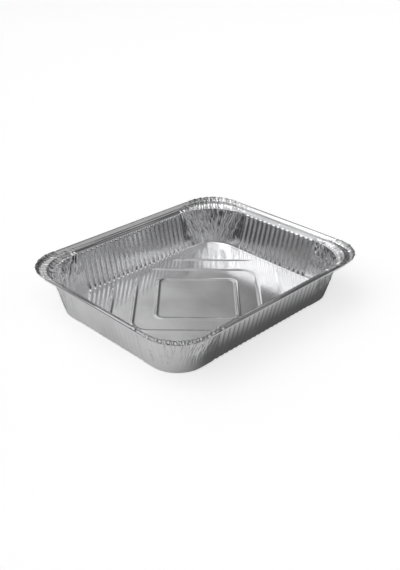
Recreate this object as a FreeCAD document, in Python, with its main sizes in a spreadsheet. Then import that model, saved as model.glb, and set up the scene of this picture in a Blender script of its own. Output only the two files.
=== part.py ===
"""Half-size foil tray, pressed from one sheet of aluminium.

The tray is the space between two forms: an outer form, whose surface is the sheet's outside,
and an inner form, whose surface is its inside. Each form is a body of its own, with the same
features set one sheet thickness apart: sloping walls with a rounded foot, upright flutes in the
middle of each side, a raised rib pattern on the floor, and a ledge with an upstand round the
mouth. The upstand is hemmed along its four straight runs and left raw in the corners, where the
sheet is gathered. Origin: centre of the underside. X runs along the tray, Y across it, Z up.
"""
import FreeCAD, Part
import math
import os
import Sketcher
from FreeCAD import Vector

doc = FreeCAD.newDocument("FoilTray")
sheet = doc.addObject("Spreadsheet::Sheet", "Sheet")

SIZES = [
    ("foil", 0.35),              # sheet thickness, as modelled
    ("base_length", 276.0),      # outline of the floor, outside
    ("base_width", 214.2),
    ("base_radius", 36.5),
    ("wall_slope", 13.45),       # lean of the walls, in degrees
    ("ledge_height", 51.0),      # upper face of the ledge
    ("ledge_end", 12.3),         # from the wall's top to the outside of the hem, at a short side
    ("ledge_side", 13.2),        # the same at a long side
    ("rim_radius", 44.5),        # corner of the raw upstand
    ("rim_height", 56.5),        # top of the hem
    ("corner_height", 57.3),     # top of the raw upstand
    ("foot_bevel", 2.4),         # leg of the outer bevel between floor and wall
    ("hem_gap", 0.35),           # space inside the folded hem
    ("hem_drop", 2.4),           # height of the hem's outer layer
    ("hem_long", 222.0),         # length of the hem on a long side
    ("hem_short", 164.0),
    ("hem_notch", 1.6),          # open notch between a hem's end and the raw corner
    ("flute_width", 6.8),
    ("flute_rise", 1.4),         # how far a flute stands in from the wall
    ("flute_flank", 2.3),        # width of each of its sloping sides
    ("flute_fade", 3.0),         # length over which its end runs out
    ("flute_pitch", 7.65),
    ("flute_foot", 3.6),         # ends of a flute, up the slope
    ("flute_head", 49.0),
    ("flutes_long", 22),
    ("flutes_short", 15),
    ("rib_width", 5.0),
    ("rib_rise", 0.9),
    ("rib_flank", 1.8),
    ("rib_inner", 69.0),         # floor centre to a corner of the inner diamond
    ("rib_step", 39.0),          # from one diamond to the next
    ("rib_inner_bend", 9.0),
    ("rib_outer_bend", 20.0),
    ("rib_margin", 12.0),        # floor edge to the end of a rib
    ("gathers", 6),              # gathers in each corner
    ("gather_width", 5.2),
    ("gather_rise", 1.2),
    ("gather_foot", 9.0),        # ends of a gather, up the slope
    ("gather_head", 50.5),
    ("gather_fade", 3.0),
    ("crease_width", 4.0),       # ridges across the ledge
    ("crease_rise", 0.6),
    ("crease_margin", 1.2),
    ("crease_length", 9.0),
    ("dent_width", 4.6),         # dents in the raw upstand
    ("dent_depth", 0.6),
    ("dent_margin", 1.2),
]
for row, (alias, number) in enumerate(SIZES, start=1):
    sheet.set(f"A{row}", alias)
    sheet.set(f"B{row}", str(number))
    sheet.setAlias(f"B{row}", alias)
doc.recompute()

# Derived sizes, written as expressions of the sheet's cells.
SLOPE = "(Sheet.wall_slope * 1deg)"
SKIN = f"(Sheet.foil / cos({SLOPE}))"
SPREAD = f"(Sheet.ledge_height * tan({SLOPE}))"
FOLD = "(Sheet.hem_gap / 2 + Sheet.foil)"
SPRING = f"(Sheet.rim_height - {FOLD})"
RIM_X = f"(Sheet.base_length / 2 + {SPREAD} + Sheet.ledge_end)"
RIM_Y = f"(Sheet.base_width / 2 + {SPREAD} + Sheet.ledge_side)"
UPSTAND_X = f"({RIM_X} - Sheet.foil - Sheet.hem_gap)"
UPSTAND_Y = f"({RIM_Y} - Sheet.foil - Sheet.hem_gap)"
UNDER = "(Sheet.ledge_height - Sheet.foil)"


def size(expression):
    """Number that an expression of the sheet's cells gives."""
    return float(sheet.evalExpression(expression.replace("Sheet.", "")))


def bind(sketch, name, constraint, expression):
    """Add one measured constraint to a sketch and tie it to the sheet."""
    index = sketch.addConstraint(constraint)
    sketch.renameConstraint(index, name)
    sketch.setExpression("Constraints." + name, expression)


def origin(body, role):
    """Plane or axis of a body's own origin."""
    return [feature for feature in body.Origin.OriginFeatures if feature.Role == role][0]


def new_sketch(body, name, plane, move=(None, None, None), turn=None):
    """Sketch on one of a body's origin planes, moved and turned within it by expressions."""
    sketch = body.newObject("Sketcher::SketchObject", name)
    sketch.AttachmentSupport = [(origin(body, plane + "_Plane"), "")]
    sketch.MapMode = "FlatFace"
    for axis, expression in zip("xyz", move):
        if expression is not None:
            sketch.setExpression(f"AttachmentOffset.Base.{axis}", expression)
    if turn is not None:
        sketch.setExpression("AttachmentOffset.Rotation.Angle", turn)
    return sketch


def rounded_rectangle(body, name, level, half_x, half_y, radius):
    """Level outline, centred on the tray."""
    sketch = new_sketch(body, name, "XY", (None, None, level))
    a, b, r = size(half_x), size(half_y), size(radius)
    up = Vector(0, 0, 1)
    corners = [(a - r, r - b), (a - r, b - r), (r - a, b - r), (r - a, r - b)]
    sides = [((r - a, -b), (a - r, -b)), ((a, r - b), (a, b - r)),
             ((a - r, b), (r - a, b)), ((-a, b - r), (-a, r - b))]
    for turn, (side, corner) in enumerate(zip(sides, corners)):
        sketch.addGeometry(Part.LineSegment(Vector(*side[0], 0), Vector(*side[1], 0)))
        start = (turn - 1) * math.pi / 2
        circle = Part.Circle(Vector(*corner, 0), up, r)
        sketch.addGeometry(Part.ArcOfCircle(circle, start, start + math.pi / 2))
    for edge in range(8):
        sketch.addConstraint(Sketcher.Constraint("Tangent", edge, 2, (edge + 1) % 8, 1))
    for edge, word in ((0, "Horizontal"), (2, "Vertical"), (4, "Horizontal"), (6, "Vertical")):
        sketch.addConstraint(Sketcher.Constraint(word, edge))
    for arc in (3, 5, 7):
        sketch.addConstraint(Sketcher.Constraint("Equal", 1, arc))
    sketch.addConstraint(Sketcher.Constraint("Symmetric", 1, 3, 5, 3, -1, 1))
    bind(sketch, "half_x", Sketcher.Constraint("DistanceX", -1, 1, 2, 1, a), half_x)
    bind(sketch, "half_y", Sketcher.Constraint("DistanceY", -1, 1, 4, 1, b), half_y)
    bind(sketch, "radius", Sketcher.Constraint("Radius", 1, r), radius)
    return sketch


def arch(sketch, tag, side, centre, half, low, spring):
    """Upright slot with a round top, at one side of the sketch's own origin."""
    x, r, z0, z1 = side * size(centre), size(half), size(low), size(spring)
    n = sketch.GeometryCount
    sketch.addGeometry(Part.LineSegment(Vector(x - r, z0, 0), Vector(x + r, z0, 0)))
    sketch.addGeometry(Part.LineSegment(Vector(x + r, z0, 0), Vector(x + r, z1, 0)))
    circle = Part.Circle(Vector(x, z1, 0), Vector(0, 0, 1), r)
    sketch.addGeometry(Part.ArcOfCircle(circle, 0, math.pi))
    sketch.addGeometry(Part.LineSegment(Vector(x - r, z1, 0), Vector(x - r, z0, 0)))
    for rule in (("Coincident", n, 2, n + 1, 1), ("Tangent", n + 1, 2, n + 2, 1),
                 ("Tangent", n + 2, 2, n + 3, 1), ("Coincident", n + 3, 2, n, 1),
                 ("Horizontal", n), ("Vertical", n + 1), ("Vertical", n + 3)):
        sketch.addConstraint(Sketcher.Constraint(*rule))
    bind(sketch, "half" + tag, Sketcher.Constraint("Radius", n + 2, r), half)
    ends = (-1, 1, n + 2, 3) if side > 0 else (n + 2, 3, -1, 1)
    bind(sketch, "centre" + tag, Sketcher.Constraint("DistanceX", *ends, abs(x)), centre)
    bind(sketch, "spring" + tag, Sketcher.Constraint("DistanceY", -1, 1, n + 2, 3, z1), spring)
    bind(sketch, "low" + tag, Sketcher.Constraint("DistanceY", -1, 1, n, 1, z0), low)


def wedge(name, shape, ends):
    """Ridge as a long wedge with sloping sides, to be cut into a form's skin.

    Its local Z runs along the ridge, from the first to the second of the ends, and its local Y
    points into the form. The shape is the ridge's width and rise, the width of a sloping side,
    and the length of its sloping foot and head. It starts a little outside the skin.
    """
    width, rise, flank, foot, head = shape
    out = "Sheet.foil"
    side = f"{out} * ({flank}) / ({rise})"
    solid = doc.addObject("Part::Wedge", name)
    for key, expression in {
            "Ymin": f"-{out}", "Ymax": rise,
            "Xmin": f"-({width}) / 2 - {side}", "Xmax": f"({width}) / 2 + {side}",
            "X2min": f"-({width}) / 2 + {flank}", "X2max": f"({width}) / 2 - {flank}",
            "Zmin": f"{ends[0]} - {out} * ({foot}) / ({rise})",
            "Zmax": f"{ends[1]} + {out} * ({head}) / ({rise})",
            "Z2min": f"{ends[0]} + {foot}", "Z2max": f"{ends[1]} - {head}"}.items():
        solid.setExpression(key, expression)
    doc.recompute()
    return solid.Shape


def placed(shape, x, y, z, yaw, roll):
    """Copy of a shape, rolled about its X and then turned about the vertical."""
    copy = shape.copy()
    copy.Placement = FreeCAD.Placement(Vector(x, y, z), FreeCAD.Rotation(yaw, 0, roll))
    return copy


def rib_tools(name, level):
    """Raised pattern of three nested diamonds, the outer two open where the floor ends."""
    shape = ("Sheet.rib_width", "Sheet.rib_rise", "Sheet.rib_flank")
    end_x = "(Sheet.base_length / 2 - Sheet.rib_margin) * sqrt(2)"
    end_y = "(Sheet.base_width / 2 - Sheet.rib_margin) * sqrt(2)"
    inner = "Sheet.rib_inner"
    middle = "(Sheet.rib_inner + Sheet.rib_step)"
    outer = "(Sheet.rib_inner + 2 * Sheet.rib_step)"
    # Along a run, zero is the foot of the perpendicular from the floor's centre.
    runs = {"inner": (inner, f"-({inner} / sqrt(2) - Sheet.rib_inner_bend)",
                      f"{inner} / sqrt(2) - Sheet.rib_inner_bend", "0", "0"),
            "middle": (middle, f"-({end_y} - {middle} / sqrt(2))",
                       f"{middle} / sqrt(2) - Sheet.rib_outer_bend", "Sheet.rib_flank", "0"),
            "outer": (outer, f"-({end_y} - {outer} / sqrt(2))",
                      f"{end_x} - {outer} / sqrt(2)", "Sheet.rib_flank", "Sheet.rib_flank")}
    tools = []
    for tag, (reach, start, end, foot, head) in runs.items():
        run = wedge(f"{name}_{tag}", (*shape, foot, head), (start, end))
        offset = size(reach) / 2
        for sx, sy in ((1, 1), (-1, 1), (-1, -1), (1, -1)):
            copy = placed(run, offset, offset, level, 45, 90)
            if sx < 0:
                copy = copy.mirror(Vector(0, 0, 0), Vector(1, 0, 0))
            if sy < 0:
                copy = copy.mirror(Vector(0, 0, 0), Vector(0, 1, 0))
            tools.append(copy)
    # The corners of the diamonds are arcs of the same section.
    out, rise = size("Sheet.foil"), size("Sheet.rib_rise")
    crest = size("Sheet.rib_width / 2 - Sheet.rib_flank")
    mouth = size("Sheet.rib_width / 2 + Sheet.foil * Sheet.rib_flank / Sheet.rib_rise")
    profile = ((-mouth, -out), (mouth, -out), (crest, rise), (-crest, rise), (-mouth, -out))
    for reach, bend, turns in ((inner, "Sheet.rib_inner_bend", (0, 90, 180, 270)),
                               (middle, "Sheet.rib_outer_bend", (0, 180))):
        radius = size(bend)
        centre = Vector(size(reach) - radius * math.sqrt(2), 0, 0)
        face = Part.Face(Part.makePolygon([centre + Vector(radius + x, 0, level + z)
                                           for x, z in profile]))
        face.rotate(centre, Vector(0, 0, 1), -45)
        arc = face.revolve(centre, Vector(0, 0, 1), 90)
        for turn in turns:
            copy = arc.copy()
            copy.rotate(Vector(0, 0, 0), Vector(0, 0, 1), turn)
            tools.append(copy)
    return [tools[0].multiFuse(tools[1:])]


def ridges(name, floor_level, ledge_level, inset, rim_inset):
    """All the ridges pressed into one form, as one compound of cutting tools."""
    tools = rib_tools(name + "_rib", floor_level)
    slope = size("Sheet.wall_slope")
    half_x, half_y = size("Sheet.base_length / 2") - inset, size("Sheet.base_width / 2") - inset
    flute = wedge(name + "_flute",
                  ("Sheet.flute_width", "Sheet.flute_rise", "Sheet.flute_flank",
                   "Sheet.flute_fade", "Sheet.flute_fade"),
                  ("Sheet.flute_foot", "Sheet.flute_head"))
    pitch = size("Sheet.flute_pitch")
    for count, yaw, x, y in (("flutes_long", 0, 0, -half_y), ("flutes_long", 180, 0, half_y),
                             ("flutes_short", 90, half_x, 0), ("flutes_short", 270, -half_x, 0)):
        total = int(size("Sheet." + count))
        along = Vector(1, 0, 0) if x == 0 else Vector(0, 1, 0)
        for i in range(total):
            shift = along * ((i - (total - 1) / 2) * pitch)
            tools.append(placed(flute, x + shift.x, y + shift.y, 0, yaw, slope))
    gather = wedge(name + "_gather",
                   ("Sheet.gather_width", "Sheet.gather_rise", "(Sheet.gather_width / 2 - Sheet.foil)",
                    "(Sheet.gather_head - Sheet.gather_foot - 2 * Sheet.gather_fade)",
                    "Sheet.gather_fade"),
                   ("Sheet.gather_foot", "Sheet.gather_head"))
    ledge_start = f"(Sheet.base_radius + {SPREAD} + Sheet.crease_margin)"
    crease = wedge(name + "_crease",
                   ("Sheet.crease_width", "Sheet.crease_rise", "(Sheet.crease_width / 2 - Sheet.foil)",
                    "Sheet.crease_rise", "Sheet.crease_rise"),
                   (ledge_start, f"{ledge_start} + Sheet.crease_length"))
    dent = wedge(name + "_dent",
                 ("Sheet.dent_width", "Sheet.dent_depth", "(Sheet.dent_width / 2 - Sheet.foil)",
                  "Sheet.dent_depth", "Sheet.dent_depth"),
                 ("Sheet.ledge_height + Sheet.dent_margin", "Sheet.corner_height + Sheet.dent_margin"))
    base, rim = size("Sheet.base_radius"), size("Sheet.rim_radius")
    centre = Vector(size("Sheet.base_length / 2") - base, size("Sheet.base_width / 2") - base, 0)
    rim_centre = Vector(size(UPSTAND_X) - rim, size(UPSTAND_Y) - rim, 0)
    total = int(size("Sheet.gathers"))
    for corner, (sx, sy) in enumerate(((1, 1), (-1, 1), (-1, -1), (1, -1))):
        for i in range(total):
            angle = corner * 90 + (i + 0.5) * 90 / total
            ray = Vector(math.cos(math.radians(angle)), math.sin(math.radians(angle)), 0)
            hub = Vector(centre.x * sx, centre.y * sy, 0)
            foot = hub + ray * (base - inset)
            tools.append(placed(gather, foot.x, foot.y, 0, angle + 90, slope))
            tools.append(placed(crease, hub.x, hub.y, ledge_level, angle + 90, 90))
            edge = Vector(rim_centre.x * sx, rim_centre.y * sy, 0) + ray * (rim - rim_inset)
            tools.append(placed(dent, edge.x, edge.y, 0, angle + 90, 0))
    group = doc.addObject("Part::Feature", name + "_ridges")
    group.Shape = Part.makeCompound(tools)
    return group


def pad(body, name, sketch, length, midplane=False):
    feature = body.newObject("PartDesign::Pad", name)
    feature.Profile = sketch
    feature.Midplane = midplane
    feature.setExpression("Length", length)
    doc.recompute()
    return feature


def pocket(body, name, sketch, length, midplane=False):
    """Pocket that runs up from its sketch, or both ways from it."""
    feature = body.newObject("PartDesign::Pocket", name)
    feature.Profile = sketch
    feature.Midplane = midplane
    feature.Reversed = not midplane
    feature.setExpression("Length", length)
    doc.recompute()
    return feature


def form(name, level, inset):
    """Body of the tray's walls: a drafted block with a bevelled foot."""
    body = doc.addObject("PartDesign::Body", name)
    foot = rounded_rectangle(body, name + "_foot", level, f"Sheet.base_length / 2 - {inset}",
                             f"Sheet.base_width / 2 - {inset}", f"Sheet.base_radius - {inset}")
    doc.recompute()
    block = pad(body, name + "_block", foot, f"Sheet.ledge_height - {level}")
    walls = body.newObject("PartDesign::Draft", name + "_walls")
    walls.Base = (block, [f"Face{i + 1}" for i, face in enumerate(block.Shape.Faces)
                          if face.BoundBox.ZLength > size("Sheet.foil")])
    walls.NeutralPlane = (origin(body, "XY_Plane"), [""])
    walls.Reversed = True
    walls.setExpression("Angle", "Sheet.wall_slope")
    doc.recompute()
    edges = [f"Edge{i + 1}" for i, edge in enumerate(walls.Shape.Edges)
             if abs(edge.BoundBox.ZMax - size(level)) < 1e-4]
    # The inner bevel is shorter, so that the sheet keeps its thickness round the foot.
    bevel = body.newObject("PartDesign::Chamfer", name + "_foot_bevel")
    bevel.Base = (walls, edges)
    turn = f"((90deg + {SLOPE}) / 2)"
    bevel.setExpression("Size", f"Sheet.foot_bevel - ({level}) * (1 / sin{turn} - 1) / cos{turn}")
    doc.recompute()
    return body


# Outer form: the sheet's outside.
outer = form("outer_form", "0", "0")
outline = rounded_rectangle(outer, "upstand_outline", UNDER, UPSTAND_X, UPSTAND_Y, "Sheet.rim_radius")
pad(outer, "upstand", outline, f"Sheet.corner_height - {UNDER}")

# Along the hems the upstand stops where the fold begins, and the folded edge goes on top.
RUNS = (("long", "YZ", UPSTAND_Y, "hem_long"), ("short", "XZ", UPSTAND_X, "hem_short"))
for tag, plane, reach, run in RUNS:
    band = new_sketch(outer, f"{tag}_band", "XY", (None, None, SPRING))
    across = f"(Sheet.{run} / 2 + Sheet.hem_notch)"
    beyond = f"({reach} + Sheet.hem_notch)"
    half = (across, beyond) if tag == "long" else (beyond, across)
    a, b = size(half[0]), size(half[1])
    ring = [Vector(-a, -b, 0), Vector(a, -b, 0), Vector(a, b, 0), Vector(-a, b, 0)]
    for i in range(4):
        band.addGeometry(Part.LineSegment(ring[i], ring[(i + 1) % 4]))
    for i in range(4):
        band.addConstraint(Sketcher.Constraint("Coincident", i, 2, (i + 1) % 4, 1))
        band.addConstraint(Sketcher.Constraint(("Horizontal", "Vertical")[i % 2], i))
    band.addConstraint(Sketcher.Constraint("Symmetric", 0, 1, 2, 1, -1, 1))
    bind(band, "half_x", Sketcher.Constraint("DistanceX", -1, 1, 1, 1, a), half[0])
    bind(band, "half_y", Sketcher.Constraint("DistanceY", -1, 1, 2, 1, b), half[1])
    doc.recompute()
    pocket(outer, f"{tag}_clearing", band, "Sheet.corner_height")
for tag, plane, reach, run in RUNS:
    middle = f"({reach} + Sheet.hem_gap / 2)"
    for part, half, low in (("hem", FOLD, f"(Sheet.rim_height - {FOLD} - Sheet.hem_drop)"),
                            ("gap", "(Sheet.hem_gap / 2)", "(Sheet.ledge_height - Sheet.hem_drop)")):
        sketch = new_sketch(outer, f"{tag}_{part}_section", plane)
        arch(sketch, "_a", 1, middle, half, low, SPRING)
        arch(sketch, "_b", -1, middle, half, low, SPRING)
        doc.recompute()
        if part == "hem":
            pad(outer, f"{tag}_hem", sketch, f"Sheet.{run}", midplane=True)
        else:
            pocket(outer, f"{tag}_gap", sketch, f"Sheet.{run} + Sheet.hem_notch", midplane=True)

# Inner form: the sheet's inside, one thickness in from the outer form.
inner = form("inner_form", "Sheet.foil", SKIN)
outline = rounded_rectangle(inner, "mouth_outline", "Sheet.ledge_height", f"{UPSTAND_X} - Sheet.foil",
                            f"{UPSTAND_Y} - Sheet.foil", "Sheet.rim_radius - Sheet.foil")
pad(inner, "mouth", outline, "Sheet.corner_height")

# The same ridges are cut into both forms, and the tray is the sheet left between the two.
foil, skin = size("Sheet.foil"), size(SKIN)
outside = doc.addObject("Part::Cut", "outside")
outside.Base = outer
outside.Tool = ridges("outer", 0, size(UNDER), 0, 0)
inside = doc.addObject("Part::Cut", "inside")
inside.Base = inner
inside.Tool = ridges("inner", foil, size("Sheet.ledge_height"), skin, foil)
tray = doc.addObject("Part::Cut", "tray")
tray.Label = "tray"
tray.Base = outside
tray.Tool = inside
doc.recompute()

for item in doc.Objects:
    if "Invalid" in item.State or "Error" in item.State:
        raise RuntimeError(f"{item.Label} did not build: {item.State}")
if tray.Shape.isNull() or not tray.Shape.isValid() or len(tray.Shape.Solids) != 1:
    raise RuntimeError("the tray isn't one valid solid")

os.makedirs("parts", exist_ok=True)
tray.Shape.exportStep("parts/tray.step")
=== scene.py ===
"""Shallow foil tray: fluted sloping walls, ribbed floor, narrow ledge, gathered corners and hemmed rim.

The pressed sheet is drawn as eight pieces that meet edge to edge: floor, walls, four corners, rim and
hems. Each is made of grids of points. Round the tray, a column of a grid stands on a point of a core
rectangle and leans out along that point's outward ray, so that an outline is the core rectangle plus the
ray times a reach. Lengths are in metres.
"""

import math

import bpy
import numpy as np
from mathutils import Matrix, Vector


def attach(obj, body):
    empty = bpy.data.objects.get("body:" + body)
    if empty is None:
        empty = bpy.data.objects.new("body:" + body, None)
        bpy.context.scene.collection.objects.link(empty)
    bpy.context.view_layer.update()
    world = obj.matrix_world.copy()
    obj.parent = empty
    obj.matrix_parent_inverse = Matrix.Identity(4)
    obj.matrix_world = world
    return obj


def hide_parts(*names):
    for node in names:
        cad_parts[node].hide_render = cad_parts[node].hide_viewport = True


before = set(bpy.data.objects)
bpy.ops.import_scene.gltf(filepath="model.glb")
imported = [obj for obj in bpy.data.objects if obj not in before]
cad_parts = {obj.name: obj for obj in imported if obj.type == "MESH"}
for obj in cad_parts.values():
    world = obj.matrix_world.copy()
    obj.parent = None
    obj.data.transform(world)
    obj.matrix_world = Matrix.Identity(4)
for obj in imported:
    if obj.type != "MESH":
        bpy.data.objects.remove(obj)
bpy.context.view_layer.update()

bl_info = {
    "name": "Foil tray",
    "version": (1, 0, 0),
    "blender": (4, 5, 0),
    "location": "View3D > Sidebar > Foil tray",
    "description": "Builds a pressed foil tray and the studio that it stands in",
    "category": "Add Mesh",
}

# The sheet
HEM_GAP = 0.00035                 # space inside a hem
HEM_STEP = 0.002                  # from one section of a hem to the next
FOLD = 0.0008                     # bend from the slope onto the ledge, and from the ledge into the lip
STRIP = 0.0018                    # strip of the floor that belongs to the walls and corners
SAG_START = 0.010                 # place up the slope above which the wall slides down it
GATHERED = 0.100                  # length of a corner along the ledge that has pleats
WIDEST_PLEAT = 0.0015             # half width of the widest pleat
LEDGE_RUN = 0.012                 # length that the pleats' courses take for the width of the ledge
NEAR = 1e-7                       # distance that counts as none
FAR = 9.0                         # place of a column that lies on no side
FLUTE_COLUMNS, CORNER_COLUMNS = 10, 190
PLAIN_LONG, PLAIN_SHORT = 30, 28  # columns between the last flute and the corner
FLOOR_ROWS, FLOOR_END_ROWS, FLOOR_COLUMNS = 118, 39, 222

# The studio: directions point from the tray, and a fade runs from its start to its end
VIEW_BACK = (-0.6086, -0.6309, 0.4813)
VIEW_TARGET = (-0.02693, 0.00286, 0.028)
VIEW_DISTANCE = 0.90235
VIEW_LENS, VIEW_SENSOR, VIEW_SHIFT = 47.87, 36.0, 0.0354
KEY_FROM = (-0.55, -0.05, 0.83)
KEY_SPREAD = math.radians(78)
BRIGHT_SIDE, BRIGHT_FADE = (-0.40, 0.85, 0.35), (0.26, 0.62)
FILL_SIDE, FILL_FADE = (0.35, -0.65, 0.68), (0.72, 0.93)
BOARD_REACH, BOARD_BEND, BOARD_TOP = 2.6, 1.0, 1.75
# Painted shade: along this direction the board is painted darker beyond its front, for the foil only,
# standing in for an unlit room.
ROOM_SHADE_SIDE, ROOM_SHADE_FADE = (-0.694, -0.720, 0), (0.30, 0.60)
SHADED_X, SHADED_Y = (-0.140, -0.085), (-0.148, -0.118)


def length(name, description, default):
    """Property for a size in metres."""
    return bpy.props.FloatProperty(name=name, description=description, default=default,
                                   subtype="DISTANCE", unit="LENGTH", precision=5)


class TrayShape(bpy.types.PropertyGroup):
    """Sizes of the pressed sheet."""
    foil: length("Foil", "Thickness of the sheet", 0.0003)
    base_length: length("Base length", "Length of the floor's outline", 0.276)
    base_width: length("Base width", "Width of the floor's outline", 0.2142)
    base_radius: length("Base radius", "Corner radius of the floor's outline", 0.0365)
    foot_radius: length("Foot radius", "Bend between floor and wall", 0.0015)
    wall_slope: bpy.props.FloatProperty(name="Wall slope", description="Lean of the walls",
                                        default=math.radians(13.45), subtype="ANGLE")
    ledge_height: length("Ledge height", "Height of the ledge", 0.051)
    ledge_rise: length("Ledge rise", "Rise of the ledge's inner half", 0.0014)
    lip: length("Lip", "Height of the upright lip above the ledge's flared outer end", 0.0020)
    rim_length: length("Rim length", "Length over the hems", 0.32498)
    rim_width: length("Rim width", "Width over the hems", 0.26498)
    rim_radius: length("Rim radius", "Corner radius of the rim", 0.0445)
    rim_height: length("Rim height", "Top of the hems", 0.0565)
    corner_height: length("Corner height", "Top of the raw corners", 0.0573)
    hem_long: length("Long hem", "Length of the hem on a long side", 0.222)
    hem_short: length("Short hem", "Length of the hem on a short side", 0.164)
    hem_drop: length("Hem drop", "Height of the hem's outer layer", 0.0016)
    flute_pitch: length("Flute pitch", "Distance from one flute to the next", 0.00765)
    flute_rise: length("Flute rise", "How far a flute stands in from the wall", 0.0017)
    flute_foot: length("Flute foot", "Start of a flute, up the slope from the foot bend", -0.0016)
    flute_head: length("Flute head", "End of a flute, up the slope", 0.0516)
    flutes_long: bpy.props.IntProperty(name="Flutes, long side", description="Number of flutes",
                                       default=22, min=1)
    flutes_short: bpy.props.IntProperty(name="Flutes, short side", description="Number of flutes",
                                        default=15, min=1)
    rib_width: length("Rib width", "Width of a floor rib", 0.005)
    rib_rise: length("Rib rise", "Height of a floor rib", 0.0009)
    rib_inner: length("Inner diamond", "Floor centre to a corner of the inner diamond", 0.069)
    rib_step: length("Diamond step", "From one diamond to the next", 0.039)
    pleats: bpy.props.IntProperty(name="Pleats", description="Gathered pleats in each corner",
                                  default=72, min=0)
    pleat_depth: length("Pleat depth", "Depth of the deepest pleat", 0.0013)
    corner_sag: length("Corner sag", "How much lower the ledge's inner edge is in a corner", 0.0032)
    side_sag: length("Side sag", "How much lower the ledge's inner edge is on a side", 0.0010)


class FoilFinish(bpy.types.PropertyGroup):
    """Colours and gloss of the rolled aluminium."""
    bright: bpy.props.StringProperty(name="Bright colour", description="sRGB hex of the bright face",
                                     default="#F2F2F3")
    dull: bpy.props.StringProperty(name="Dull colour", description="sRGB hex of the rubbed patches",
                                   default="#E6E6E7")
    # Fold colour: on the hems' crests it is painted shade, standing in for the dark reflection of a rounded
    # fold; in the corners it darkens the raw lip and the flare below it.
    fold: bpy.props.StringProperty(name="Fold colour", description="sRGB hex of creased, worn folds",
                                   default="#6E6E70")
    gloss: bpy.props.FloatProperty(name="Roughness", description="Roughness of the bright face",
                                   default=0.11, min=0.0, max=1.0)


class StudioLook(bpy.types.PropertyGroup):
    """Floor, lamp and sky."""
    floor: bpy.props.StringProperty(name="Floor colour", description="sRGB hex of the pale floor",
                                    default="#F7F7F7")
    # Painted shade: the colour that the foil sees on the board beyond its front, standing in for an unlit
    # room.
    room_shade: bpy.props.StringProperty(name="Room colour",
                                   description="sRGB hex of the dark room that the foil "
                                   "sees beyond the front of the board", default="#505050")
    shaded: bpy.props.StringProperty(name="Shaded colour",
                                     description="sRGB hex of the floor that the foil "
                                     "sees beside the tray's right front", default="#9A9A9A")
    lift: bpy.props.FloatProperty(name="Shadow lift",
                                  description="Share of plain white that the camera sees",
                                  default=0.42, min=0.0, max=1.0)
    white: bpy.props.FloatProperty(name="Plain white", description="Level of that plain white",
                                   default=1.55, min=0.0)
    key: bpy.props.FloatProperty(name="Key light", description="Strength of the soft key light",
                                 default=1.15, min=0.0)
    sky: bpy.props.FloatProperty(name="Bright sky", description="Level of the bright side of the sky",
                                 default=0.69, min=0.0)
    fill: bpy.props.FloatProperty(name="Fill", description="Level of the fill at the front right",
                                  default=0.35, min=0.0)
    shade: bpy.props.FloatProperty(name="Dark sky", description="Level of the shaded side of the sky",
                                   default=0.09, min=0.0)


# Points of the sheet

def smooth(x):
    """Smooth step: 3 x squared minus 2 x cubed, with x held between 0 and 1."""
    x = np.clip(x, 0.0, 1.0)
    return x * x * (3.0 - 2.0 * x)


def dome(x):
    """Quarter round: the root of 1 minus (1 - x) squared, with x held between 0 and 1."""
    x = np.clip(x, 0.0, 1.0)
    return np.sqrt(np.clip(1.0 - (1.0 - x) ** 2, 0.0, 1.0))


def ripple(x, y, span, seed, count=14):
    """Gentle uneven waves, mostly between -1 and 1.

    They are the sum of sines with random directions and phases, over the root of their number. The
    wavelengths lie between the span and twice the span.
    """
    rng = np.random.default_rng(seed)
    total = np.zeros(np.broadcast(x, y).shape)
    for turn, wave, phase in zip(rng.uniform(0, math.tau, count), rng.uniform(1, 2, count) * span,
                                 rng.uniform(0, math.tau, count)):
        total += np.sin((x * math.cos(turn) + y * math.sin(turn)) * math.tau / wave + phase)
    return total / math.sqrt(count)


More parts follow.
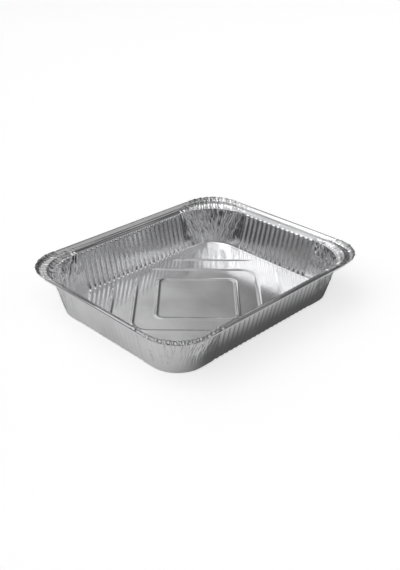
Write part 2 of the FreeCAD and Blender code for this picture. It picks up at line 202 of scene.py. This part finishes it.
def columns(s):
    """Columns round the tray, as arrays with one entry for each column.

    They run anticlockwise, each side before its corner, and the +X side comes first. Each has a point
    on the core rectangle of the walls, another on the core rectangle of the rim, an outward ray, its
    place along its side, the number of flutes of that side (0 in a corner), its distance from the
    middle of the nearest corner, measured along the ledge, and the number of that corner.
    """
    wall_x, wall_y = s.base_length / 2 - s.base_radius, s.base_width / 2 - s.base_radius
    rim_x, rim_y = s.rim_length / 2 - s.rim_radius, s.rim_width / 2 - s.rim_radius
    top = s.base_radius + s.ledge_height * math.tan(s.wall_slope)
    quarter = top * math.pi / 4
    parts = []
    short_side = wall_y, rim_y, wall_x, rim_x, s.flutes_short, PLAIN_SHORT
    long_side = wall_x, rim_x, wall_y, rim_y, s.flutes_long, PLAIN_LONG
    for k, side in enumerate((short_side, long_side, short_side, long_side)):
        half_wall, half_rim, across_wall, across_rim, flutes, plain = side
        reach = flutes * s.flute_pitch / 2
        steps = np.linspace(0, 1, FLUTE_COLUMNS + 1)[:-1]
        fluted = (np.arange(flutes)[:, None] + steps).ravel() * s.flute_pitch - reach
        fluted = np.append(fluted, reach)
        fan = np.linspace(0, 1, plain + 1)[1:]
        wall = np.concatenate([-(reach + (half_wall - reach) * fan[::-1]), fluted,
                               reach + (half_wall - reach) * fan])
        rim = np.concatenate([-(reach + (half_rim - reach) * fan[::-1]), fluted,
                              reach + (half_rim - reach) * fan])
        turn = k * math.pi / 2
        ray = np.array([math.cos(turn), math.sin(turn)])
        along = np.array([-math.sin(turn), math.cos(turn)])
        n = len(wall)
        parts.append({
            "wall": ray * across_wall + along * wall[:, None],
            "rim": ray * across_rim + along * rim[:, None],
            "ray": np.tile(ray, (n, 1)), "place": wall, "rim_place": rim, "flutes": np.full(n, flutes),
            "corner": np.where(wall > 0, wall - half_wall - quarter, wall + half_wall + quarter),
            "seed": np.where(wall > 0, k, (k - 1) % 4), "straight": np.ones(n)})
        angle = turn + np.linspace(0, math.pi / 2, CORNER_COLUMNS + 2)[1:-1]
        rays = np.stack([np.cos(angle), np.sin(angle)], axis=1)
        sign = np.sign(rays.mean(axis=0))
        n = len(angle)
        parts.append({
            "wall": np.tile(sign * [wall_x, wall_y], (n, 1)),
            "rim": np.tile(sign * [rim_x, rim_y], (n, 1)),
            "ray": rays, "place": np.full(n, FAR), "rim_place": np.full(n, FAR), "flutes": np.zeros(n),
            "corner": (angle - turn - math.pi / 4) * top, "seed": np.full(n, k), "straight": np.zeros(n)})
    return {key: np.concatenate([p[key] for p in parts]) for key in parts[0]}


def flute_relief(s, c, up):
    """Height of the flutes over the wall.

    Across a flute the height is a full cosine wave. Its ends are round: they start later near the
    valleys, and rise as quarter rounds. The lower ends stand on the edge of the floor as toes of about
    half the height.
    """
    foot_late, foot_run, head_late, head_run = 0.0012, 0.0013, 0.0020, 0.0016
    toe, full_height = 0.55, 0.008
    half = c["flutes"] * s.flute_pitch / 2
    inside = np.abs(c["place"]) <= half + NEAR
    phase = np.mod((c["place"] + half) / s.flute_pitch, 1.0) * 2 - 1
    phase = np.where(np.isclose(np.abs(phase), 1, atol=1e-4), 1.0, phase)
    swell = (0.5 + 0.5 * np.cos(math.pi * phase)) * inside
    end = 1 - np.sqrt(np.clip(1 - phase ** 2, 0, 1))
    foot = dome((up - s.flute_foot - foot_late * end) / foot_run)
    head = dome((s.flute_head - head_late * end - up) / head_run)
    return s.flute_rise * swell * foot * head * (toe + (1 - toe) * smooth(up / full_height))


def pleat_relief(s, c, up):
    """Height of the gathered pleats in the corners, for a place up the slope and on over the ledge.

    A pleat is a ridge or a furrow with straight flanks: 1 minus the distance from its crest over its
    half width. Crests fan out from low in the corner, so that they lean more away from its middle, and
    sway a little. A pleat is about half as wide at the foot as at the ledge, and fades in over its own
    stretch. Two fifths of them start near the foot, and the others up to three quarters of the way up.
    """
    sway, narrow, fade = 0.0006, 0.55, 0.016
    edge = s.ledge_height / math.cos(s.wall_slope)
    relief = np.zeros(np.broadcast(c["corner"], up).shape)
    for corner in range(4):
        rng = np.random.default_rng(40 + corner)
        mine = np.where(c["seed"] == corner, c["corner"], FAR)
        for i in range(s.pleats):
            at = (i + rng.uniform(0.0, 1.0)) / s.pleats * GATHERED - GATHERED / 2
            lean = rng.uniform(-0.05, 0.05) + at * rng.uniform(3, 13)
            half = rng.uniform(0.4 * WIDEST_PLEAT, WIDEST_PLEAT)
            depth = s.pleat_depth * rng.uniform(0.2, 1.0) * (half / WIDEST_PLEAT) ** 0.5
            depth *= 1 if rng.random() < 0.5 else -0.8
            start = rng.uniform(0.002, 0.012) if rng.random() < 0.4 else rng.uniform(0.012, 0.040)
            bend = sway * np.sin(up * rng.uniform(150, 500) + rng.uniform(0, 6))
            gap = np.abs(mine - at - lean * (np.minimum(up, edge + LEDGE_RUN / 2) - edge) - bend)
            wide = half * (narrow + (1 - narrow) * np.clip(up / edge, 0, 1))
            relief += depth * np.clip(1 - gap / wide, 0, 1) * smooth((up - start) / fade)
    return relief


def plain_zone(s, c):
    """1 in the corners and 0 on the fluted sides, with a smooth edge of 3 mm beside the last flute."""
    return smooth((np.abs(c["place"]) - c["flutes"] * s.flute_pitch / 2) / 0.003)


def corner_weight(c):
    """1 in the middle of a corner and 0 past its pleats, with a smooth edge of 30 mm between."""
    return smooth((GATHERED / 2 - np.abs(c["corner"])) / 0.030)


def wall_points(s, c, fine):
    """Grid of the walls, from a strip of the floor, round the foot, up the slope and over the edge.

    A point is its column's core point plus the ray times a reach, at a height. The reach and height
    follow a flat, an arc of the foot radius, a straight slope and a small arc onto the ledge. The
    relief of flutes, pleats and a faint unevenness moves it along the wall's normal. The sag slides it
    down the slope, most at the top and in the corners, with the square of the distance up the slope.
    Fine grids have close rows all the way, and others where the flutes start and end.
    """
    uneven, crumple, clear = 0.00022, 0.00018, 0.004
    foot_end, middle_start, middle_end, head_start = 0.0056, 0.0070, 0.0440, 0.0458
    slope, r, mid = s.wall_slope, s.foot_radius, s.foil / 2
    tangent = r * math.tan((math.pi / 2 - slope) / 2)
    turn = np.linspace(0, math.pi / 2 - slope, 6)
    edge = s.ledge_height / math.cos(slope)
    fold_tangent = FOLD * math.tan((math.pi / 2 - slope) / 2)
    if fine:
        rise = np.linspace(tangent, edge - fold_tangent, 70)[1:]
    else:
        rise = np.concatenate([np.linspace(tangent, foot_end, 13)[1:],
                               np.linspace(middle_start, middle_end, 11),
                               np.linspace(head_start, edge - fold_tangent, 12)])
    strip = np.linspace(-STRIP, 0, 7)[:-1]
    flat = s.base_radius - tangent + strip
    reach = [flat, s.base_radius - tangent + r * np.sin(turn), s.base_radius + rise * math.sin(slope)]
    height = [0 * strip, r * (1 - np.cos(turn)), rise * math.cos(slope)]
    out = [0 * strip, np.sin(turn), np.full(len(rise), math.cos(slope))]
    back = np.linspace(0, math.pi / 2 - slope, 5)[1:]
    top_reach = s.base_radius + (edge - fold_tangent) * math.sin(slope) + FOLD * math.cos(slope)
    top_height = (edge - fold_tangent) * math.cos(slope) - FOLD * math.sin(slope)
    lean = math.pi - slope - back
    reach.append(top_reach + FOLD * np.cos(lean))
    height.append(top_height + FOLD * np.sin(lean))
    out.append(-np.cos(lean))
    up = np.concatenate([strip, turn / turn[-1] * tangent, rise, edge + back / back[-1] * FOLD])[:, None]
    reach, height, out = (np.concatenate(v)[:, None] for v in (reach, height, out))
    climb = np.clip((up - SAG_START) / (edge - SAG_START), 0, 1) ** 2
    sag = (s.side_sag + (s.corner_sag - s.side_sag) * corner_weight(c)) * climb
    plain = plain_zone(s, c)
    relief = flute_relief(s, c, up) + pleat_relief(s, c, up) * plain
    along = np.where(c["straight"] > 0, c["place"], 0.0)
    apart = c["ray"][:, 0] * 3 + c["ray"][:, 1] * 5
    relief = relief + uneven * smooth((up - clear) / 0.01) * ripple(along + apart, up, 0.045, 7)
    relief = relief + crumple * smooth((up - clear) / 0.02) * plain * ripple(
        c["corner"] + c["seed"], up / 5, 0.0024, 8, 12)
    relief = relief * smooth((up + STRIP) / 0.0003)
    wide = reach - relief * out - sag * math.sin(slope)
    points = np.empty((len(up), len(along), 3))
    points[..., :2] = c["wall"] + c["ray"] * wide[..., None]
    points[..., 2] = mid + height + relief * np.sqrt(1 - np.clip(out, 0, 1) ** 2) - sag * math.cos(slope)
    return points


def zones(s, c):
    """Column numbers of the four fluted sides and of the four corners, which share their end columns."""
    fluted = np.abs(c["place"]) <= c["flutes"] * s.flute_pitch / 2 + NEAR
    starts = np.flatnonzero(fluted & ~np.roll(fluted, 1))
    ends = np.flatnonzero(fluted & ~np.roll(fluted, -1))
    total = len(fluted)
    sides = [np.arange(a, b + 1) for a, b in zip(starts, ends)]
    corners = [np.arange(b, a + 1) % total for b, a in zip(ends, [*starts[1:], starts[0] + total])]
    return sides, corners


def take(c, numbers):
    """The columns with those numbers."""
    return {key: values[numbers] for key, values in c.items()}


def rim_points(s, c, start):
    """Grid of the rim, from the walls' last row over the ledge and up the lip, and the darkening of its
    points.

    Across the ledge the height is a smooth step up from the walls' last row, then flat, then a straight
    flare. Long uneven ridges run along it, and pleats and a fine crumple cross it in the corners. The
    lip is upright. Under the hems its edge is even, and in the corners it is higher, ragged and wavy,
    with a notch where a hem ends. The corners' lip and the flare below it are painted darker, in streaks.
    """
    streaks, pleated, crumple = 0.00010, 0.28, 0.00026
    stepped, flared = 0.40, 0.80
    under_hem, past_hem, notch_half, notch_depth = 0.0005, 0.0004, 0.0012, 0.0022
    torn, waved, leaned = 0.0009, 0.0005, 0.0004
    mid = s.foil / 2
    edge = s.ledge_height / math.cos(s.wall_slope)
    reach = s.rim_radius - s.foil - HEM_GAP - mid
    hem = np.where(c["flutes"] == s.flutes_long, s.hem_long, s.hem_short) / 2
    raw = smooth((np.abs(c["rim_place"]) - hem - notch_half) / notch_half)
    foot = c["rim"] + c["ray"] * (reach - FOLD)
    level = s.rim_height - s.lip
    w = np.concatenate([np.linspace(0, stepped, 7), np.linspace(0.47, 0.76, 4), np.linspace(0.79, 1, 6)])
    w = w[:, None]
    points = np.empty((len(w), len(raw), 3))
    points[..., :2] = start[:, :2] + (foot - start[:, :2]) * w[..., None]
    flat = s.ledge_height - mid + s.ledge_rise
    points[..., 2] = (start[:, 2] + (flat - start[:, 2]) * smooth(w / stepped)
                      + (level - flat) * np.clip((w - flared) / (1 - flared), 0, 1))
    along = np.where(c["straight"] > 0, c["place"], c["corner"])
    width = np.linalg.norm(foot - start[:, :2], axis=1)
    plain, around = plain_zone(s, c), c["corner"] + c["seed"]
    relief = streaks * ripple(along / 22 + c["seed"] * 0.3, w * width, 0.0032, 21)
    relief = relief + pleated * pleat_relief(s, c, edge + w * LEDGE_RUN) * plain
    relief = relief + crumple * ripple(along + c["seed"], w * width, 0.0022, 23) * plain
    points[..., 2] += relief * smooth(w / 0.08) * (0.25 + 0.75 * smooth((1 - w) / 0.1))
    turn = np.linspace(0, math.pi / 2, 4)[1:, None]
    ragged = torn * np.abs(ripple(around, 0 * raw, 0.006, 33, 6))
    notch = smooth(1 - np.abs(raw - 0.5) * 2.2)
    top = s.rim_height - under_hem + (s.corner_height - s.rim_height + past_hem - ragged) * raw
    top = top - notch_depth * notch
    up = np.linspace(0, 1, 6)[1:, None]
    base = level + FOLD
    lean = waved * ripple(around, up * 0.004, 0.0055, 35, 8) + leaned * up
    lean = lean * raw * smooth(up * 1.3) * smooth((0.036 - np.abs(c["corner"])) / 0.012)
    upstand = np.empty((len(turn) + len(up), len(raw), 3))
    bend, lip = upstand[:len(turn)], upstand[len(turn):]
    bend[..., :2] = foot + c["ray"] * (FOLD * np.sin(turn))[..., None]
    bend[..., 2] = points[-1, :, 2] + FOLD * np.sin(turn) * (1.2 - 0.2 * np.sin(turn))
    lip[..., :2] = foot + c["ray"] * (FOLD + lean)[..., None]
    lip[..., 2] = base + (top - base) * up
    marks = np.clip(0.45 + 0.35 * ripple(around, 0 * raw, 0.0025, 61), 0, 1)
    # Darker, rougher streaks on the raw corners' lip and on the flare below it.
    darkening = np.concatenate([smooth((w - flared) / (1 - flared)) * raw, np.tile(raw, (len(upstand), 1))])
    return np.concatenate([points, upstand]), darkening * marks


def hem_points(s, side):
    """Grid of one hem, a hairpin section carried along its side, and the darkening of its points.

    The section climbs the inner layer, turns over a half circle and drops down the outer layer, which
    sways in and out a little.
    """
    inner, sway = 0.0006, 0.00012
    mid, half = s.foil / 2, (s.foil + HEM_GAP) / 2
    across = s.rim_length if side % 2 == 0 else s.rim_width
    run = s.hem_short if side % 2 == 0 else s.hem_long
    turn = np.linspace(math.pi, 0, 9)
    centre, spring = across / 2 - mid - half, s.rim_height - mid - half
    drop = np.linspace(0, 1, 5)[1:]
    u = np.concatenate([[centre - half], centre + half * np.cos(turn), np.full(len(drop), centre + half)])
    z = np.concatenate([[spring - inner], spring + half * np.sin(turn), spring - drop * s.hem_drop])
    along = np.linspace(-run / 2, run / 2, int(run / HEM_STEP))
    fall = np.concatenate([np.zeros(1 + len(turn)), drop])[:, None]
    angle = side * math.pi / 2
    out, tangent = (math.cos(angle), math.sin(angle)), (-math.sin(angle), math.cos(angle))
    wide = u[:, None] - sway * np.abs(ripple(along, 0 * along, 0.03, 60 + side, 6)) * fall
    points = np.empty((len(u), len(along), 3))
    points[..., 0] = wide * out[0] + along * tangent[0]
    points[..., 1] = wide * out[1] + along * tangent[1]
    points[..., 2] = z[:, None] + 0 * along
    # Painted shade: darkest on the crest's top, standing in for the dark reflection that the rounded fold
    # shows there.
    darkening = np.concatenate([[0.2], smooth(1.6 * np.sin(turn)), np.zeros(len(drop))])[:, None] + 0 * along
    return points, darkening


def diamond(x, y, reach, bend):
    """Distance from the line of a rounded diamond whose corners lie that far from the centre.

    In axes turned by 45 degrees it is a rounded square: the length of the excess over the inner
    square, less the radius of the bend.
    """
    inner = reach / math.sqrt(2) - bend
    p = np.abs(x + y) / math.sqrt(2) - inner
    q = np.abs(x - y) / math.sqrt(2) - inner
    return np.hypot(np.maximum(p, 0), np.maximum(q, 0)) + np.minimum(np.maximum(p, q), 0) - bend


def floor_points(s):
    """Grid of the floor: rows in Y, each as wide as the rounded outline is there, with raised ribs.

    A rib's height is the smooth step of 1 minus the distance from its line over its half width, and it
    runs out near the edge. Between the ribs the floor sways up a little.
    """
    bends, flat_top, margin, fade = (0.009, 0.020, 0.020), 1.12, 0.0105, 0.004
    uneven, uneven_margin, uneven_fade = 0.00018, 0.006, 0.012
    core_x, core_y = s.base_length / 2 - s.base_radius, s.base_width / 2 - s.base_radius
    tangent = s.foot_radius * math.tan((math.pi / 2 - s.wall_slope) / 2)
    radius = s.base_radius - tangent - STRIP
    turn = np.linspace(0, math.pi / 2, FLOOR_END_ROWS + 1)[1:]
    y = np.concatenate([-core_y - radius * np.sin(turn[::-1]), np.linspace(-core_y, core_y, FLOOR_ROWS),
                        core_y + radius * np.sin(turn)])
    half = core_x + radius * np.sqrt(np.clip(1 - (np.maximum(np.abs(y) - core_y, 0) / radius) ** 2, 0, 1))
    x = np.linspace(-1, 1, FLOOR_COLUMNS) * half[:, None]
    y = y[:, None] + 0 * x
    inset = s.base_radius - np.hypot(np.maximum(np.abs(x) - core_x, 0), np.maximum(np.abs(y) - core_y, 0))
    ribs = np.zeros(x.shape)
    for k, bend in enumerate(bends):
        gap = np.abs(diamond(x, y, s.rib_inner + k * s.rib_step, bend))
        ribs = np.maximum(ribs, smooth(flat_top * (1 - gap / (s.rib_width / 2))))
    ribs *= smooth((inset - margin) / fade)
    sway = uneven * (1 + ripple(x, y, 0.06, 3)) * smooth((inset - uneven_margin) / uneven_fade)
    return np.stack([x, y, s.foil / 2 + s.rib_rise * ribs + np.maximum(sway, 0)], axis=-1)


# Meshes and materials

def grid_mesh(name, grids, closed):
    """Mesh of one or more grids of points, each with four-sided faces between rows and columns.

    A closed grid joins its last column to its first. Faces are made as whole arrays. A grid may come
    with the darkening of its points, from 0 to 1, which the material reads.
    """
    verts, faces, darkened, start = [], [], [], 0
    for grid in grids:
        points, darkening = grid if isinstance(grid, tuple) else (grid, np.zeros(grid.shape[:2]))
        darkened.append(darkening.ravel())
        rows, cols = points.shape[:2]
        index = start + np.arange(rows * cols).reshape(rows, cols)
        if closed:
            index = np.concatenate([index, index[:, :1]], axis=1)
        faces.append(np.stack([index[:-1, :-1], index[:-1, 1:], index[1:, 1:], index[1:, :-1]],
                              axis=-1).reshape(-1, 4))
        verts.append(points.reshape(-1, 3))
        start += rows * cols
    verts, faces = np.concatenate(verts), np.concatenate(faces)
    mesh = bpy.data.meshes.new(name)
    mesh.vertices.add(len(verts))
    mesh.vertices.foreach_set("co", verts.astype(np.float32).ravel())
    mesh.loops.add(faces.size)
    mesh.loops.foreach_set("vertex_index", faces.astype(np.int32).ravel())
    mesh.polygons.add(len(faces))
    mesh.polygons.foreach_set("loop_start", np.arange(0, faces.size, 4, dtype=np.int32))
    mesh.polygons.foreach_set("use_smooth", np.ones(len(faces), dtype=bool))
    mesh.update(calc_edges=True)
    layer = mesh.attributes.new("darkening", "FLOAT", "POINT")
    layer.data.foreach_set("value", np.concatenate(darkened).astype(np.float32))
    return mesh


def linear(code):
    """Linear colour of an sRGB hex code."""
    values = [int(code[i:i + 2], 16) / 255 for i in (1, 3, 5)]
    return tuple(v / 12.92 if v <= 0.04045 else ((v + 0.055) / 1.055) ** 2.4 for v in values) + (1.0,)


def add_node(tree, kind, settings=None, inputs=None, links=None):
    """Node with its settings, its sockets' values, and links from other nodes' sockets."""
    made = tree.nodes.new(kind)
    for key, value in (settings or {}).items():
        setattr(made, key, value)
    for key, value in (inputs or {}).items():
        made.inputs[key].default_value = value
    for key, socket in (links or {}).items():
        tree.links.new(socket, made.inputs[key])
    return made


def foil_material(look):
    """Rolled aluminium foil, pressed in a die.

    Bright metal with a soft blur. Handling leaves shallow dents of 9 mm and a finer crumple of
    2.5 mm, and rolling leaves fine lines along the length. Those lines are 0.05 mm apart in real
    foil and are drawn 0.8 mm apart here, so that they show. Rubbed patches of 50 mm are duller, and
    folds are darker and rougher: on the hems' crests the darker colour is painted shade of a dark reflection.
    """
    material = bpy.data.materials.new("rolled_aluminium_foil")
    material.use_nodes = True
    tree = material.node_tree
    shader = tree.nodes["Principled BSDF"]
    place = add_node(tree, "ShaderNodeTexCoord").outputs["Object"]
    stretch = add_node(tree, "ShaderNodeMapping", inputs={"Scale": (0.03, 1.0, 1.0)},
                       links={"Vector": place})
    dents = add_node(tree, "ShaderNodeTexNoise", inputs={"Scale": 1 / 0.009, "Detail": 1.0},
                     links={"Vector": place})
    crumple = add_node(tree, "ShaderNodeTexNoise", inputs={"Scale": 1 / 0.0025, "Detail": 2.0},
                       links={"Vector": place})
    lines = add_node(tree, "ShaderNodeTexNoise", inputs={"Scale": 1 / 0.0008, "Detail": 1.0},
                     links={"Vector": stretch.outputs["Vector"]})
    patches = add_node(tree, "ShaderNodeTexNoise", inputs={"Scale": 1 / 0.05, "Detail": 3.0},
                       links={"Vector": place})
    rubbed = add_node(tree, "ShaderNodeMapRange", inputs={"From Min": 0.4, "From Max": 0.7},
                      links={"Value": patches.outputs["Fac"]})
    colour = add_node(tree, "ShaderNodeMix", {"data_type": "RGBA"},
                      {"A": linear(look.bright), "B": linear(look.dull)},
                      {"Factor": rubbed.outputs["Result"]})
    rough = add_node(tree, "ShaderNodeMapRange",
                     inputs={"From Min": 0.3, "From Max": 0.75,
                             "To Min": look.gloss, "To Max": look.gloss + 0.08},
                     links={"Value": patches.outputs["Fac"]})
    # Painted shade: the darkening attribute mixes in the dark fold colour, which on the hems' crests stands
    # in for a dark reflection; darkened folds are also rougher.
    darkening = add_node(tree, "ShaderNodeAttribute", {"attribute_name": "darkening"}).outputs["Fac"]
    colour = add_node(tree, "ShaderNodeMix", {"data_type": "RGBA"}, {"B": linear(look.fold)},
                      {"Factor": darkening, "A": colour.outputs["Result"]})
    rough = add_node(tree, "ShaderNodeMath", {"operation": "MULTIPLY_ADD"}, {1: 0.15},
                     {0: darkening, 2: rough.outputs["Result"]})
    bump = add_node(tree, "ShaderNodeBump", inputs={"Strength": 0.12, "Distance": 0.0003},
                    links={"Height": dents.outputs["Fac"]})
    bump = add_node(tree, "ShaderNodeBump", inputs={"Strength": 0.12, "Distance": 0.0001},
                    links={"Height": crumple.outputs["Fac"], "Normal": bump.outputs["Normal"]})
    bump = add_node(tree, "ShaderNodeBump", inputs={"Strength": 0.10, "Distance": 0.00004},
                    links={"Height": lines.outputs["Fac"], "Normal": bump.outputs["Normal"]})
    shader.inputs["Metallic"].default_value = 1.0
    tree.links.new(colour.outputs["Result"], shader.inputs["Base Color"])
    tree.links.new(rough.outputs["Value"], shader.inputs["Roughness"])
    tree.links.new(bump.outputs["Normal"], shader.inputs["Normal"])
    return material


def add_piece(context, name, grids, closed=False):
    """Piece of the sheet: the mesh with its thickness and material, riding on the tray's body."""
    s = context.scene.tray_shape
    piece = bpy.data.objects.new(name, grid_mesh(name, grids, closed))
    context.scene.collection.objects.link(piece)
    material = bpy.data.materials.get("rolled_aluminium_foil") or foil_material(context.scene.foil_finish)
    piece.data.materials.append(material)
    sheet = piece.modifiers.new("sheet", "SOLIDIFY")
    sheet.thickness, sheet.offset = s.foil, 0.0
    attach(piece, "root")
    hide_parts("tray")
    return piece


class TRAY_OT_floor(bpy.types.Operator):
    """Floor with its raised ribs"""
    bl_idname = "tray.floor"
    bl_label = "Floor"

    def execute(self, context):
        add_piece(context, "tray_floor", [floor_points(context.scene.tray_shape)])
        return {"FINISHED"}


class TRAY_OT_walls(bpy.types.Operator):
    """Fluted walls"""
    bl_idname = "tray.walls"
    bl_label = "Walls"

    def execute(self, context):
        s = context.scene.tray_shape
        c = columns(s)
        add_piece(context, "tray_walls", [wall_points(s, take(c, side), False) for side in zones(s, c)[0]])
        return {"FINISHED"}


class TRAY_OT_corners(bpy.types.Operator):
    """Gathered corners"""
    bl_idname = "tray.corners"
    bl_label = "Corners"

    def execute(self, context):
        s = context.scene.tray_shape
        c = columns(s)
        for k, corner in enumerate(zones(s, c)[1]):
            add_piece(context, f"tray_corner_{k + 1}", [wall_points(s, take(c, corner), True)])
        return {"FINISHED"}


class TRAY_OT_rim(bpy.types.Operator):
    """Ledge and upstand"""
    bl_idname = "tray.rim"
    bl_label = "Rim"

    def execute(self, context):
        s = context.scene.tray_shape
        c = columns(s)
        add_piece(context, "tray_rim", [rim_points(s, c, wall_points(s, c, False)[-1])], closed=True)
        return {"FINISHED"}


class TRAY_OT_hems(bpy.types.Operator):
    """Folded hems on the four straight edges"""
    bl_idname = "tray.hems"
    bl_label = "Hems"

    def execute(self, context):
        s = context.scene.tray_shape
        add_piece(context, "tray_hems", [hem_points(s, side) for side in range(4)])
        return {"FINISHED"}


def floor_material(look):
    """Matt painted board, with a very faint unevenness of 40 mm.

    The camera sees it near white, with most of the shadow lifted. The foil sees it as lit, with painted
    shade for an unlit room beyond the board's front, and deeper painted shade beside the tray's right front.
    """
    material = bpy.data.materials.new("matt_painted_board")
    material.use_nodes = True
    tree = material.node_tree
    shader = tree.nodes["Principled BSDF"]
    place = add_node(tree, "ShaderNodeTexCoord").outputs["Object"]
    seen = add_node(tree, "ShaderNodeLightPath").outputs["Is Camera Ray"]
    noise = add_node(tree, "ShaderNodeTexNoise", inputs={"Scale": 1 / 0.04}, links={"Vector": place})
    rough = add_node(tree, "ShaderNodeMapRange", inputs={"To Min": 0.85, "To Max": 0.95},
                     links={"Value": noise.outputs["Fac"]})
    # Painted shade: for the foil only, the board darkens towards its front to the room colour, standing in
    # for an unlit room.
    across = add_node(tree, "ShaderNodeVectorMath", {"operation": "DOT_PRODUCT"}, {1: ROOM_SHADE_SIDE},
                      {0: place})
    grade = add_node(tree, "ShaderNodeMapRange", {"interpolation_type": "SMOOTHSTEP"},
                     {"From Min": ROOM_SHADE_FADE[0], "From Max": ROOM_SHADE_FADE[1]},
                     {"Value": across.outputs["Value"]})
    graded = add_node(tree, "ShaderNodeMix", {"data_type": "RGBA"},
                      {"A": linear(look.floor), "B": linear(look.room_shade)}, {"Factor": grade.outputs["Result"]})
    split = add_node(tree, "ShaderNodeSeparateXYZ", links={"Vector": place})
    along = add_node(tree, "ShaderNodeMapRange", {"interpolation_type": "SMOOTHSTEP"},
                     {"From Min": SHADED_X[0], "From Max": SHADED_X[1]}, {"Value": split.outputs["X"]})
    beside = add_node(tree, "ShaderNodeMapRange", {"interpolation_type": "SMOOTHSTEP"},
                      {"From Min": SHADED_Y[0], "From Max": SHADED_Y[1]}, {"Value": split.outputs["Y"]})
    shaded = add_node(tree, "ShaderNodeMath", {"operation": "MULTIPLY"},
                      links={0: along.outputs["Result"], 1: beside.outputs["Result"]})
    under = add_node(tree, "ShaderNodeMix", {"data_type": "RGBA"}, {"B": linear(look.shaded)},
                     {"Factor": shaded.outputs["Value"], "A": graded.outputs["Result"]})
    colour = add_node(tree, "ShaderNodeMix", {"data_type": "RGBA"}, {"B": linear(look.floor)},
                      {"Factor": seen, "A": under.outputs["Result"]})
    shader.inputs["Specular IOR Level"].default_value = 0.1
    tree.links.new(colour.outputs["Result"], shader.inputs["Base Color"])
    tree.links.new(rough.outputs["Result"], shader.inputs["Roughness"])
    white = add_node(tree, "ShaderNodeEmission", inputs={"Color": (1, 1, 1, 1), "Strength": look.white})
    lift = add_node(tree, "ShaderNodeMath", {"operation": "MULTIPLY"}, {1: look.lift}, {0: seen})
    both = add_node(tree, "ShaderNodeMixShader",
                    links={0: lift.outputs["Value"], 1: shader.outputs["BSDF"], 2: white.outputs["Emission"]})
    tree.links.new(both.outputs["Shader"], tree.nodes["Material Output"].inputs["Surface"])
    return material


class TRAY_OT_studio(bpy.types.Operator):
    """Pale floor that curves up behind, soft key light, graded sky and camera"""
    bl_idname = "tray.studio"
    bl_label = "Studio"

    def execute(self, context):
        look = context.scene.studio_look
        flat = np.linspace(0.02, BOARD_REACH, 12)
        bend = np.linspace(0, math.pi / 2, 13)[1:]
        reach = np.concatenate([flat, BOARD_REACH + BOARD_BEND * np.sin(bend), [BOARD_REACH + BOARD_BEND]])
        rise = np.concatenate([0 * flat, BOARD_BEND * (1 - np.cos(bend)), [BOARD_TOP]])
        turn = np.linspace(0, math.tau, 97)[:-1]
        points = np.stack([reach[:, None] * np.cos(turn), reach[:, None] * np.sin(turn),
                           rise[:, None] + 0 * turn], axis=-1)
        board = np.concatenate([points[:1] * 0, points])
        floor = bpy.data.objects.new("studio_floor", grid_mesh("studio_floor", [board], True))
        context.scene.collection.objects.link(floor)
        floor.data.materials.append(floor_material(look))

        lamp = bpy.data.lights.new("key_light", "SUN")
        lamp.energy, lamp.angle = look.key, KEY_SPREAD
        key = bpy.data.objects.new("key_light", lamp)
        context.scene.collection.objects.link(key)
        key.rotation_euler = Vector(KEY_FROM).to_track_quat("Z", "Y").to_euler()

        world = bpy.data.worlds.new("graded_sky")
        world.use_nodes = True
        context.scene.world = world
        tree = world.node_tree
        way = add_node(tree, "ShaderNodeTexCoord").outputs["Generated"]
        level = look.shade
        for side, (low, high), gain in ((BRIGHT_SIDE, BRIGHT_FADE, look.sky - look.shade),
                                        (FILL_SIDE, FILL_FADE, look.fill)):
            facing = add_node(tree, "ShaderNodeVectorMath", {"operation": "DOT_PRODUCT"},
                              {1: Vector(side).normalized()}, {0: way})
            lobe = add_node(tree, "ShaderNodeMapRange", {"interpolation_type": "SMOOTHSTEP"},
                            {"From Min": low, "From Max": high, "To Max": gain},
                            {"Value": facing.outputs["Value"]})
            total = add_node(tree, "ShaderNodeMath", {"operation": "ADD"}, links={0: lobe.outputs["Result"]})
            if isinstance(level, float):
                total.inputs[1].default_value = level
            else:
                tree.links.new(level, total.inputs[1])
            level = total.outputs["Value"]
        tree.links.new(level, tree.nodes["Background"].inputs["Strength"])
        tree.nodes["Background"].inputs["Color"].default_value = (1, 1, 1, 1)

        view = bpy.data.cameras.new("camera")
        view.sensor_width, view.lens, view.shift_x = VIEW_SENSOR, VIEW_LENS, VIEW_SHIFT
        view.clip_start, view.clip_end = 0.02, 20.0
        camera = bpy.data.objects.new("camera", view)
        context.scene.collection.objects.link(camera)
        back = Vector(VIEW_BACK).normalized()
        camera.location = Vector(VIEW_TARGET) + back * VIEW_DISTANCE
        camera.rotation_euler = back.to_track_quat("Z", "Y").to_euler()
        context.scene.camera = camera
        context.scene.view_settings.view_transform = "Standard"
        return {"FINISHED"}


class TRAY_PT_panel(bpy.types.Panel):
    """Buttons for the pieces and the studio"""
    bl_idname = "TRAY_PT_panel"
    bl_label = "Foil tray"
    bl_space_type = "VIEW_3D"
    bl_region_type = "UI"
    bl_category = "Foil tray"

    def draw(self, context):
        for operator in OPERATORS:
            self.layout.operator(operator.bl_idname)
        for group in (context.scene.tray_shape, context.scene.foil_finish, context.scene.studio_look):
            for name in group.__annotations__:
                self.layout.prop(group, name)


OPERATORS = (TRAY_OT_floor, TRAY_OT_walls, TRAY_OT_corners, TRAY_OT_rim, TRAY_OT_hems, TRAY_OT_studio)
GROUPS = {"tray_shape": TrayShape, "foil_finish": FoilFinish, "studio_look": StudioLook}


def register():
    for item in (*GROUPS.values(), *OPERATORS, TRAY_PT_panel):
        bpy.utils.register_class(item)
    for name, group in GROUPS.items():
        setattr(bpy.types.Scene, name, bpy.props.PointerProperty(type=group))


def unregister():
    for name in GROUPS:
        delattr(bpy.types.Scene, name)
    for item in (TRAY_PT_panel, *reversed(OPERATORS), *reversed(GROUPS.values())):
        bpy.utils.unregister_class(item)


def main():
    register()
    for operator in OPERATORS:
        group, name = operator.bl_idname.split(".")
        getattr(getattr(bpy.ops, group), name)()
    bpy.context.view_layer.update()


if __name__ == "__main__":
    main()
